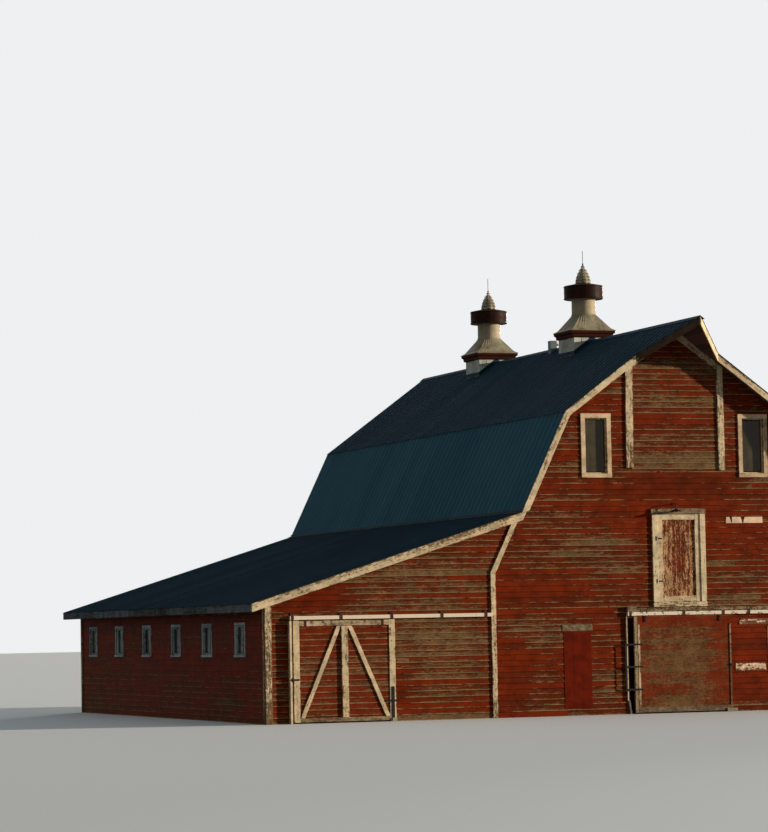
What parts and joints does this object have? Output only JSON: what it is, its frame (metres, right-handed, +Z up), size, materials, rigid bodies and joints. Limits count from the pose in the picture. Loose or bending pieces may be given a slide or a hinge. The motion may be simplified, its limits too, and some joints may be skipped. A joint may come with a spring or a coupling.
{
  "type": "gambrel-roofed wooden barn with a lean-to shed on each side",
  "caption": "Red wooden barn with a gambrel roof, a hay hood, ridge ventilators, lean-to sheds and sliding doors.",
  "frame": {"origin": "middle of the building's footprint box, on the ground", "axes": "+Z up, +X to the right for someone facing the front gable, -Y out of the front gable"},
  "size_m": [23.16, 20, 12.54],
  "materials": {
    "red_boards": "weathered paint",
    "trim_boards": "weathered paint",
    "bare_wood": "weathered",
    "roof_sheet": "satin",
    "vent_sheet": "weathered",
    "rusty_sheet": "rusty",
    "door_iron": "rusty",
    "pane": "clear"
  },
  "bodies": {
    "barn": {"back_wall": "red_boards", "boarded_door": "red_boards", "corner_boards": "trim_boards", "door_stops": "trim_boards", "door_tracks": "door_iron", "eave_fascias": "trim_boards", "front_gable": "red_boards", "front_wall_left": "red_boards", "front_wall_lintel": "red_boards", "front_wall_right": "red_boards", "hay_door": "trim_boards", "hay_door_frame": "trim_boards", "hood_trim": "trim_boards", "left_inner_wall": "bare_wood", "left_lower_roof": "roof_sheet", "left_shed_back_wall": "red_boards", "left_shed_front_inner": "red_boards", "left_shed_front_lintel": "red_boards", "left_shed_front_outer": "red_boards", "left_shed_roof": "roof_sheet", "left_shed_side_wall": "red_boards", "left_upper_roof": "roof_sheet", "loft_floor": "bare_wood", "main_rake_boards": "trim_boards", "main_track_board": "bare_wood", "mow_door": "red_boards", "mow_door_trim": "trim_boards", "ridge_cap": "roof_sheet", "right_inner_wall": "bare_wood", "right_lower_roof": "roof_sheet", "right_shed_back_wall": "red_boards", "right_shed_front_wall": "red_boards", "right_shed_roof": "roof_sheet", "right_shed_side_wall": "red_boards", "right_upper_roof": "roof_sheet", "roof_aprons": "roof_sheet", "shed_rake_boards": "trim_boards", "stub_vent": "vent_sheet", "vent_cornices": "rusty_sheet", "vent_crowns": "vent_sheet", "vent_curbs": "trim_boards", "vent_drums": "rusty_sheet", "vent_flues": "vent_sheet", "wall_boards": "trim_boards", "window_frames": "trim_boards", "window_glass": "pane", "yard_lamp": "door_iron"},
    "left_shed_door": {"left_shed_door": "red_boards", "left_shed_door_battens": "trim_boards", "left_shed_door_hangers": "door_iron", "left_shed_door_latches": "door_iron"},
    "main_door": {"main_door": "red_boards", "main_door_battens": "trim_boards", "main_door_hangers": "door_iron", "main_door_latch": "door_iron"}
  },
  "joints": [
    {"name": "left_shed_door_slide", "type": "slide", "parent": "barn", "child": "left_shed_door", "axis": [1, 0, 0], "range_m": [0, 2.5]},
    {"name": "main_door_slide", "type": "slide", "parent": "barn", "child": "main_door", "axis": [1, 0, 0], "range_m": [-0.16, 2.55]}
  ]
}
